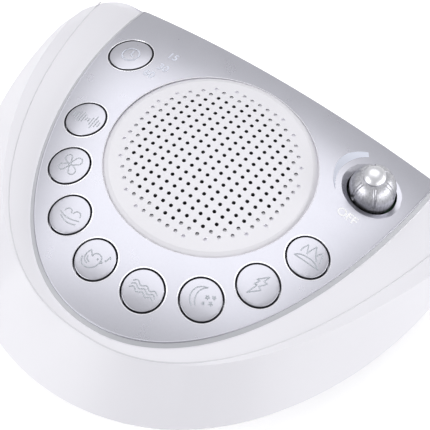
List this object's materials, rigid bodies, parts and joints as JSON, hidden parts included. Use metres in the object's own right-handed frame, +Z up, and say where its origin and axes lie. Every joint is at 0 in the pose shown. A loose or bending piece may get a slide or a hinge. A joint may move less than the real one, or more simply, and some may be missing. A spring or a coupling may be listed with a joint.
{
  "type": "sound machine",
  "caption": "White noise sound machine with a half-moon white housing, a silver domed face, a perforated round grille, round sound buttons, a timer button and a volume knob",
  "frame": {"origin": "on the table, below the middle of the box of the whole machine", "axes": "+X to the right as seen from the front, +Y towards the straight back, +Z up"},
  "size_m": [0.161, 0.1286, 0.0421],
  "materials": {
    "white_plastic": "moulded, half gloss",
    "silver_paint": "satin silver lacquer on plastic",
    "grille_plastic": "pale satin plastic",
    "black_cloth": "thin acoustic cloth",
    "button_paint": "satin silver lacquer on plastic",
    "knob_chrome": "satin chrome plating on plastic",
    "steel": "plain zinc-plated steel",
    "black_plastic": "moulded black",
    "paper_cone": "black paper cone",
    "ferrite": "ferrite magnet with steel plates",
    "board_green": "glass-fibre board with green lacquer",
    "foot_rubber": "soft rubber"
  },
  "bodies": {
    "body": {"top_housing": "white_plastic", "bottom_housing": "white_plastic", "face_panel": "silver_paint", "speaker_grille": "grille_plastic", "grille_cloth": "black_cloth", "volume_control": "black_plastic", "speaker_frame": "steel", "speaker_cone": "paper_cone", "speaker_magnet": "ferrite", "main_board": "board_green", "tact_switches": "black_plastic", "power_inlet": "black_plastic", "rubber_feet": "foot_rubber", "housing_screws": "steel", "panel_screws": "steel", "board_screws": "steel", "speaker_screws": "steel"},
    "noise_key": {"button_noise": "button_paint"},
    "rain_key": {"button_rain": "button_paint"},
    "stream_key": {"button_stream": "button_paint"},
    "bird_key": {"button_bird": "button_paint"},
    "waves_key": {"button_waves": "button_paint"},
    "night_key": {"button_night": "button_paint"},
    "storm_key": {"button_storm": "button_paint"},
    "fire_key": {"button_fire": "button_paint"},
    "timer_key": {"timer_button": "button_paint"},
    "knob": {"volume_knob": "knob_chrome", "control_shaft": "steel"}
  },
  "joints": [
    {"name": "press_noise", "type": "slide", "parent": "body", "child": "noise_key", "axis": [0, 0, -1], "range_m": [0, 0.0008], "stiffness_N_per_m": 1500, "springref_m": -0.0003},
    {"name": "press_rain", "type": "slide", "parent": "body", "child": "rain_key", "axis": [0, 0, -1], "range_m": [0, 0.0008], "stiffness_N_per_m": 1500, "springref_m": -0.0003},
    {"name": "press_stream", "type": "slide", "parent": "body", "child": "stream_key", "axis": [0, 0, -1], "range_m": [0, 0.0008], "stiffness_N_per_m": 1500, "springref_m": -0.0003},
    {"name": "press_bird", "type": "slide", "parent": "body", "child": "bird_key", "axis": [0, 0, -1], "range_m": [0, 0.0008], "stiffness_N_per_m": 1500, "springref_m": -0.0003},
    {"name": "press_waves", "type": "slide", "parent": "body", "child": "waves_key", "axis": [0, 0, -1], "range_m": [0, 0.0008], "stiffness_N_per_m": 1500, "springref_m": -0.0003},
    {"name": "press_night", "type": "slide", "parent": "body", "child": "night_key", "axis": [0, 0, -1], "range_m": [0, 0.0008], "stiffness_N_per_m": 1500, "springref_m": -0.0003},
    {"name": "press_storm", "type": "slide", "parent": "body", "child": "storm_key", "axis": [0, 0, -1], "range_m": [0, 0.0008], "stiffness_N_per_m": 1500, "springref_m": -0.0003},
    {"name": "press_fire", "type": "slide", "parent": "body", "child": "fire_key", "axis": [0, 0, -1], "range_m": [0, 0.0008], "stiffness_N_per_m": 1500, "springref_m": -0.0003},
    {"name": "press_timer", "type": "slide", "parent": "body", "child": "timer_key", "axis": [0, 0, -1], "range_m": [0, 0.0008], "stiffness_N_per_m": 1500, "springref_m": -0.0003},
    {"name": "volume_turn", "type": "hinge", "parent": "body", "child": "knob", "pos_m": [0.04515, 0.045, 0], "axis": [0, 0, -1], "range_deg": [0, 280]}
  ]
}
